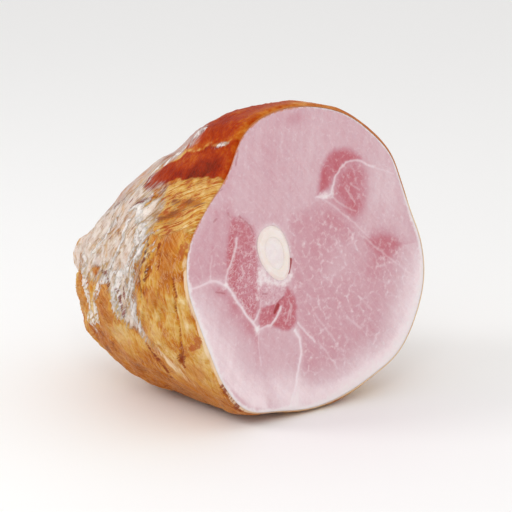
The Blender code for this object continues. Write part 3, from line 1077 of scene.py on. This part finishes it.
# %% The muscles and their tones
red_muscle = [
    (-33, 28), (-26, 28), (-19, 21), (-14, 13), (-12, 4), (-12, -5), (-14, -14), (-13, -24),
    (-12, -36), (-17, -42), (-22, -38), (-28, -30), (-33, -22), (-37, -16), (-38, -7),
    (-38, 0), (-37, 8), (-36, 18),
]
under_bone = [
    (-12, -35), (-4, -34), (3, -32), (8, -29), (10, -24), (14, -27), (17, -33), (18, -40),
    (17, -50), (12, -54), (5, -52), (-5, -48), (-12, -48), (-13, -42),
]
bone_tissue = [
    (-14, -12), (-13, -30), (-6, -33), (1, -33), (6, -31), (9, -27), (11, -19), (4, -17), (-6, -10)
]
crescent = [
    (35, 35), (36, 43), (38, 50), (42, 58), (48, 63), (56, 62), (64, 59), (70, 54), (62, 54),
    (55, 52), (50, 47), (46, 43), (44, 38),
]
eye_muscle = [
    (49, 30), (50, 41), (53, 48), (58, 51), (66, 52), (74, 48), (78, 41), (79, 31), (74, 20),
    (66, 15), (58, 21), (53, 26),
]
right_spot = [
    (75, -1), (84, 3), (94, 2), (102, -3), (107, -10), (103, -17), (95, -19), (87, -17), (80, -8)
]
big_muscle = [
    (12, 22), (22, 26), (34, 29), (44, 25), (54, 16), (64, 8), (76, 0), (90, -3), (108, -6),
    (120, -22), (121, -44), (112, -66), (96, -82), (76, -92), (52, -98), (32, -98), (24, -88),
    (24, -72), (22, -60), (19, -50), (18, -36), (14, -22), (14, -4),
]
lower_left = [
    (-40, -17), (-50, -12), (-62, -14), (-68, -24), (-62, -46), (-50, -66), (-36, -84),
    (-20, -100), (-6, -106), (-8, -80), (-13, -56), (-16, -46), (-24, -37), (-32, -25),
]
left_lobe = [
    (-38, -9), (-50, -9), (-66, -10), (-68, 4), (-60, 22), (-48, 36), (-36, 38), (-31, 28),
    (-33, 17), (-32, 8), (-35, 0),
]
MUSCLES = (
    (left_lobe, 4, 0.13), (big_muscle, 3.5, 0.14), (red_muscle, 3.2, 0.37),
    (under_bone, 2.0, 0.52), (bone_tissue, 3, 0.12), (crescent, 3.4, 0.50),
    (eye_muscle, 8, 0.38), (right_spot, 6, 0.28),
)
tone = np.full(len(here), 0.39)
for border, edge, darker in MUSCLES:
    tone += darker * within_border(here, border, edge)
past_seam = -0.82 * (here[:, 0] + 38) - 0.58 * (here[:, 1] + 15)
lower_tone = np.clip(0.64 - 0.019 * past_seam, 0.10, 0.60)
tone += within_border(here, lower_left, 2) * (lower_tone - tone)
bloom = within(254, 356, meat_turn % 360, 16) * (1 - smooth(6, 34, from_edge))
tone -= 0.38 * bloom
tone += near_spots(here, [
    (-24, 14, 7, 10, 0.10), (-4, 60, 6, 26, 0.06), (-40, 62, 8, 16, 0.05), (14, 87, 12, 5, 0.18),
    (62, -34, 22, 18, -0.02), (56, -14, 10, 10, -0.12), (70, -5, 7, 6, -0.12),
    (46, -21, 8, 6, -0.06), (54, 13, 14, 9, 0.12), (83, -23, 7, 8, 0.10), (46, 28, 8, 4, 0.10),
    (34, 0, 9, 9, 0.05), (100, -58, 12, 14, -0.08), (2, -90, 20, 15, -0.18), (64, 38, 10, 12, 0.06),
    (-34, -2, 4, 16, 0.20), (46, 18, 6, 5, 0.10), (-42, -18, 5, 5, 0.12), (-33, -30, 4, 8, 0.12),
    (-20, -44, 5, 7, 0.16), (22, -80, 6, 14, 0.06), (78, -84, 16, 12, -0.10),
    (77, 32, 7, 14, -0.16), (64, 22, 8, 6, 0.16), (54, 40, 4, 9, 0.08), (92, -6, 9, 6, 0.08),
    (108, 14, 14, 30, -0.02), (-60, 2, 9, 26, -0.03), (116, -40, 8, 30, -0.06),
    (26, 14, 12, 10, 0.05), (60, 61, 6, 3, 0.10), (-60, 40, 12, 14, -0.06),
    (-28, 70, 7, 22, -0.04), (30, 60, 9, 22, -0.05), (84, 40, 8, 20, -0.05),
    (94, 30, 12, 22, -0.11), (38, 44, 4, 10, 0.12), (102, -44, 12, 22, -0.06),
])
print("tone from", round(float(tone.min()), 2), "to", round(float(tone.max()), 2))

# %% Fat, cracks and mottling
FAT_TURNS = (0, 40, 75, 100, 130, 160, 185, 205, 230, 250, 270, 288, 305, 320, 340)
FAT_WIDTHS = (3, 1.2, 0.5, 0.5, 0.5, 0.8, 3.0, 3.5, 2.5, 2.5, 4, 7, 9, 9, 6)
fat_width = np.interp(meat_turn % 360, FAT_TURNS, FAT_WIDTHS, period=360)
fat_width = fat_width * (1 + 0.35 * wobble[:, 0])
fat = 1 - smooth(0.1 * fat_width, 1.5 * fat_width + 0.3, from_edge)
bone_fat = [
    (-14, -7), (-9, -8), (-6, -13), (-2, -17), (4, -19), (10, -18), (13, -13), (15, -16),
    (12, -21), (8, -24), (2, -22), (-4, -22), (-8, -18), (-13, -20), (-15, -15),
]
fat = np.maximum(fat, 0.75 * within_border(here, bone_fat, 2.6))
fat = np.clip(fat + near_spots(here, [
    (41, 33, 5, 2.2, 0.8), (47, 35, 2, 4, 0.6), (17, -104, 5, 7, 0.7), (20, -92, 2.5, 12, 0.4),
    (-38.5, -15, 2.2, 2.2, 0.9), (-14, -49, 2, 3, 0.8), (18, -56, 3, 3, 0.5),
    (-14, -26, 1.4, 6, 0.4), (-5, -32, 4, 1.2, 0.5), (23, 3, 1.5, 3, 0.4),
]), 0, 1)
deep_blood = [[(12.6, -6), (12.0, -9), (10.8, -14)], [(2.6, -35), (1.2, -36.8), (-0.2, -39)]]
faint_blood = [
    [(-37, 32), (-35, 29)], [(-28, 29), (-25, 26), (-20, 22), (-17, 17)],
    [(-29, 72), (-30, 67), (-31, 62)], [(-49, 43), (-45, 46), (-41, 48)],
    [(-27, 81), (-24, 84)], [(-46, -18), (-40, -20)], [(-10, -25), (-6, -26)],
    [(3, -33), (7, -30)], [(-48, 28), (-46, 30)],
]
meat_around = meat_turn % 360
stain = within(92, 168, meat_around, 8) * (1 - smooth(0.0, 1.8 + 0.8 * wobble[:, 1], from_edge))
blood = near_lines(here, deep_blood, 3.0)
blood = np.maximum(blood, 0.42 * near_lines(here, faint_blood, 2.0))
mottled = within_border(here, red_muscle, 3) + 0.7 * within_border(here, bone_tissue, 2)
mottled = np.clip(mottled + 0.3 * within_border(here, under_bone, 3), 0, 1)
mottled *= 1 - 0.8 * near_spots(here, [(-25, 16, 7, 10, 1)])
marbled = within_border(here, big_muscle, 8) + 0.25 * within_border(here, eye_muscle, 4)
marbled = np.clip(marbled + 0.25, 0, 1)
print("fat covers", round(float((fat > 0.5).mean()) * 100, 1), "% of the cut")

# %% Shape the slice
BONE_HALF = (11.4, 20.2)
MARROW_HALF = (7.4, 12.6)
BONE_LEAN = math.radians(23)
BONE_NARROWING = 0.16


def oval_places(disc, half):
    """Places of the leaning egg shape of the bone, for points of a round disc."""
    wide = disc[:, 0] * half[0] * (1 + BONE_NARROWING * disc[:, 1])
    tall = disc[:, 1] * half[1]
    across = wide * math.cos(BONE_LEAN) - tall * math.sin(BONE_LEAN)
    up = wide * math.sin(BONE_LEAN) + tall * math.cos(BONE_LEAN)
    return BONE_MIDDLE + np.column_stack((across, up))


def oval_share(here, half):
    """0 in the middle of the bone's egg shape and 1 on its edge."""
    wide = here[:, 0] * math.cos(BONE_LEAN) + here[:, 1] * math.sin(BONE_LEAN)
    tall = (here[:, 1] * math.cos(BONE_LEAN) - here[:, 0] * math.sin(BONE_LEAN)) / half[1]
    return np.hypot(wide / (half[0] * (1 + BONE_NARROWING * tall)), tall)


bone_share = oval_share(from_bone, BONE_HALF)
forward = 0.35 * wobble[:, 1] - 0.3 * seam - 0.5 * blood + 0.1 * fat
forward = forward * smooth(0, 3, from_edge) + 0.15
forward -= 3.2 * (1 - smooth(0.93, 1.0, bone_share))
cut_points = points_of(meat)
cut_points[:, 1] = CUT_PLANE - forward
put_points(meat, cut_points)
for name, value in (
    ("tone", tone), ("seam", seam), ("glow", seam_glow), ("fat", fat), ("blood", blood),
    ("mottled", mottled), ("marbled", marbled), ("by_bone", 1 - smooth(1.0, 1.22, bone_share)),
    ("stain", stain),
):
    paint(meat, name, value)
draw_back(meat, [(0.8, 0.985, 0, 0), (4.0, 0.97, 0, 0)])
print("slice triangles", sum(len(face.vertices) - 2 for face in meat.data.polygons))

# %% [markdown]
# ## The cut meat: its finish
#
# Cured meat is pink, paler where fat runs through it and darker in muscles that worked hard. The
# painted tone picks the pink from a ramp. Voronoi cells give the web of fat round the bundles of
# fibres, and the painted seams, fat and blood lie over it. A thin moist coat and a little light
# that scatters under the surface keep it from looking like paint.

# %% Cured meat, as a material
cured = Finish(
    "cured_meat",
    IOR=1.4, Coat_Weight=0.12, Coat_Roughness=0.3, Coat_IOR=1.38,
    Subsurface_Weight=0.12, Subsurface_Scale=0.003, Subsurface_Radius=(1.0, 0.45, 0.35),
)
clouds = grain(cured, 0.020, 3)
fine = grain(cured, 0.0011, 3)
specks = grain(cured, 0.0028, 3)
sway = cured.node("TexNoise", {}, out="Color", Vector=cured.on_ham(), Scale=220, Detail=2)
swayed = cured.node(
    "VectorMath", {"operation": "MULTIPLY_ADD"}, sway, (0.005, 0.005, 0.005), cured.on_ham()
)


def drawn_out(places, lean, length, width):
    """Places in units of a length along a line that leans from upright, and a width."""
    settings = {"vector_type": "TEXTURE"}
    named = {"Rotation": (0, math.radians(lean), 0), "Scale": (width, length, length)}
    return cured.node("Mapping", settings, places, **named)


def cells(length, width, lean=0):
    """The distance to thin lines between irregular cells of about this size."""
    drawn = drawn_out(swayed, lean, length, width)
    return cured.node("TexVoronoi", {"feature": "DISTANCE_TO_EDGE"}, Vector=drawn, Scale=1)


def fibres(lean, length, width):
    """Noise that is drawn out along a lean, as the meat's fibres are."""
    drawn = drawn_out(cured.on_ham(), lean, length, width)
    return cured.node("TexNoise", {}, drawn, Scale=1, Detail=4, Roughness=0.6, Distortion=0.5)


upright = fibres(6, 0.030, 0.0050)
crossing = fibres(-40, 0.016, 0.0022)
large_cells = cells(0.0120, 0.0070, -40)
middle_cells = cells(0.0060, 0.0045, -20)
small_cells = cells(0.0026, 0.0022)
print("meat noises made")

# %% Colour the meat
MEAT_TONES = [
    (0.00, shade(238, 219, 223)), (0.28, shade(216, 184, 191)), (0.50, shade(205, 158, 168)),
    (0.75, shade(194, 122, 134)), (1.00, shade(186, 84, 96)),
]
SEAM_WHITE, FAT_WHITE = shade(240, 226, 231), shade(240, 229, 230)
RAW_RED, DARK_RED, STAIN = shade(176, 66, 78), shade(150, 10, 18), shade(206, 120, 74)

depth = cured.painted("tone") + (clouds - 0.5) * 0.14 + (specks - 0.5) * 0.16
plain = 1 - cured.painted("marbled")
depth = depth + (upright - 0.5) * plain * 0.34 + (crossing - 0.5) * 0.22
depth = depth + (fine - 0.5) * 0.16
web = large_cells.step(0.16, 0.0) * specks.step(0.34, 0.66) * cured.painted("marbled")
web = web * clouds.step(0.26, 0.56) + middle_cells.step(0.16, 0.0) * specks.step(0.46, 0.66) * 0.5
mottle = small_cells.step(0.20, 0.02) * cured.painted("mottled") * specks.step(0.38, 0.58)
fat_here = ragged_edge(cured.painted("fat"), specks, 1.3, 0.05, 1.0)
stain_here = ragged_edge(cured.painted("stain"), fine, 1.4, 0.30, 0.80)
cured.set(Base_Color=cured.lay(
    cured.ramp(MEAT_TONES, depth),
    (web * 0.36, SEAM_WHITE),
    (mottle * 0.34, SEAM_WHITE),
    (cured.painted("mottled") * fine.step(0.55, 0.70) * 0.5, RAW_RED),
    (cured.painted("glow") * 0.12, SEAM_WHITE),
    (cured.painted("seam") * (0.55 + specks * 0.35), SEAM_WHITE),
    (fat_here * 0.88, FAT_WHITE),
    (cured.painted("by_bone") * 0.35, FAT_WHITE),
    (cured.painted("blood").step(0.12, 0.80) * 0.85, DARK_RED),
    (stain_here * 0.8, STAIN),
))
print("meat coloured")

# %% Wet and slightly uneven
cured.set(Roughness=0.44 + (specks - 0.5) * 0.25 - fat_here * 0.06)
relief = fine * 0.35 + specks * 0.5 + upright * plain * 0.4 - web * 0.5
bump = cured.node("Bump", {}, Strength=0.5, Distance=0.0006, Height=relief)
cured.set(Normal=bump)
meat.data.materials.append(cured.material)
print("cured meat has", len(cured.tree.nodes), "nodes")

# %% [markdown]
# ## The bone and its marrow
#
# The thigh bone is a tube of hard cream bone round a soft pale core. The saw leaves both nearly
# flat, with the bone a little proud, because meat shrinks back from it. Both run on inside the
# meat along the leg, as the solids do. The bone's slice has a pit where the marrow sits. Both
# are pale and dull, with pores, and their border is faint.

# %% Make the bone
BONE_GRID = 72
FIRST_STEP = 6
LONG_STEPS = 4


def run_in(run, drop):
    """Steps along the leg into the meat: a short one, then long ones that sink by drop mm."""
    long_step = ((run - FIRST_STEP) / LONG_STEPS, 0.95, -1, drop)
    return [(FIRST_STEP, 0.99, -0.2, -2)] + [long_step] * LONG_STEPS


def bone_outline(disc):
    return oval_places(disc, BONE_HALF)


bone, _ = round_slice("sawn_bone", BONE_GRID, bone_outline, CUT_PLANE - 0.8)
bone_points = points_of(bone)
sawn = bone_points[:, [0, 2]] - BONE_MIDDLE
share = oval_share(sawn, BONE_HALF)
pit = 1 - smooth(0.84, 0.96, oval_share(sawn, MARROW_HALF))
rough = ripple(np.column_stack((sawn / 3, 0 * share)), 31, 3)
bone_points[:, 1] += 0.6 * smooth(0.85, 1, share) + 3.0 * pit + 0.12 * rough
put_points(bone, bone_points)
paint(bone, "edge", smooth(0.80, 0.98, share))
paint(bone, "core", 1 - smooth(1.0, 1.25, oval_share(sawn, MARROW_HALF)))
draw_back(bone, run_in(BONE_RUN, -11))
print("bone", [round(value / MM, 1) for value in bone.dimensions], "mm")

# %% Make the marrow
MARROW_GRID = 48
MARROW_RUN = 132


def marrow_outline(disc):
    return oval_places(disc, MARROW_HALF)


marrow, _ = round_slice("soft_marrow", MARROW_GRID, marrow_outline, CUT_PLANE - 0.3)
marrow_points = points_of(marrow)
core = marrow_points[:, [0, 2]] - BONE_MIDDLE
share = oval_share(core, MARROW_HALF)
rough = ripple(np.column_stack((core / 4, 0 * share)), 32, 3)
marrow_points[:, 1] += 0.15 * smooth(0.8, 1, share) + 0.12 * rough
put_points(marrow, marrow_points)
paint(marrow, "edge", smooth(0.55, 1.0, share))
draw_back(marrow, run_in(MARROW_RUN, -10.3))
print("marrow", [round(value / MM, 1) for value in marrow.dimensions], "mm")


# %% Bone and marrow, as materials
def dull(piece, finish, colour, pores, patchy, roughness):
    """Gives a piece its colour, a gloss that varies a little and a small relief."""
    bump = finish.node("Bump", {}, Strength=0.4, Distance=0.0004, Height=pores + patchy)
    finish.set(Base_Color=colour, Roughness=roughness + (patchy - 0.5) * 0.2, Normal=bump)
    piece.data.materials.append(finish.material)


hard = Finish("sawn_bone", IOR=1.5, Subsurface_Weight=0.1, Subsurface_Scale=0.003)
pores, patchy = grain(hard, 0.0009, 3), grain(hard, 0.006, 3)
colour = hard.lay(
    shade(241, 230, 226),
    (patchy.step(0.35, 0.65), shade(239, 226, 218)),
    (hard.painted("core") * 0.10, shade(236, 218, 204)),
    (ragged_edge(hard.painted("edge"), patchy, 2.4) * 0.35, shade(230, 204, 198)),
    (pores.step(0.62, 0.76) * 0.25, shade(206, 170, 140)),
)
dull(bone, hard, colour, pores, patchy, 0.48)

soft = Finish("soft_marrow", IOR=1.42, Subsurface_Weight=0.15, Subsurface_Scale=0.003)
pores, patchy = grain(soft, 0.0013, 3), grain(soft, 0.005, 3)
colour = soft.lay(
    shade(240, 230, 229),
    (patchy.step(0.35, 0.65), shade(235, 222, 222)),
    (soft.painted("edge") * 0.4, shade(239, 224, 214)),
    (pores.step(0.60, 0.75) * 0.3, shade(228, 204, 204)),
)
dull(marrow, soft, colour, pores, patchy, 0.42)
print("bone nodes", len(hard.tree.nodes), "marrow nodes", len(soft.tree.nodes))

# %% [markdown]
# ## Tying the pieces to the frame
#
# The pieces are tied to the one body, and the solids that they stand for are hidden. The boxes
# before and after are printed, so that they can be compared.

# %% Tie the pieces to the frame
for piece, node, slot in (
    (rind, "ham_meat", "meat"), (meat, "ham_meat", "meat"),
    (bone, "thigh_bone", "bone"), (marrow, "bone_marrow", "marrow"),
):
    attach(piece, "root")
    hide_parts(node)

FINISHED_BOX = [list(corner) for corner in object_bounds()]
for axis in range(3):
    sides = [round((box[1][axis] - box[0][axis]) / MM, 1) for box in (FRAME_BOX, FINISHED_BOX)]
    print("xyz"[axis], "solids", sides[0], "mm, finished", sides[1], "mm")
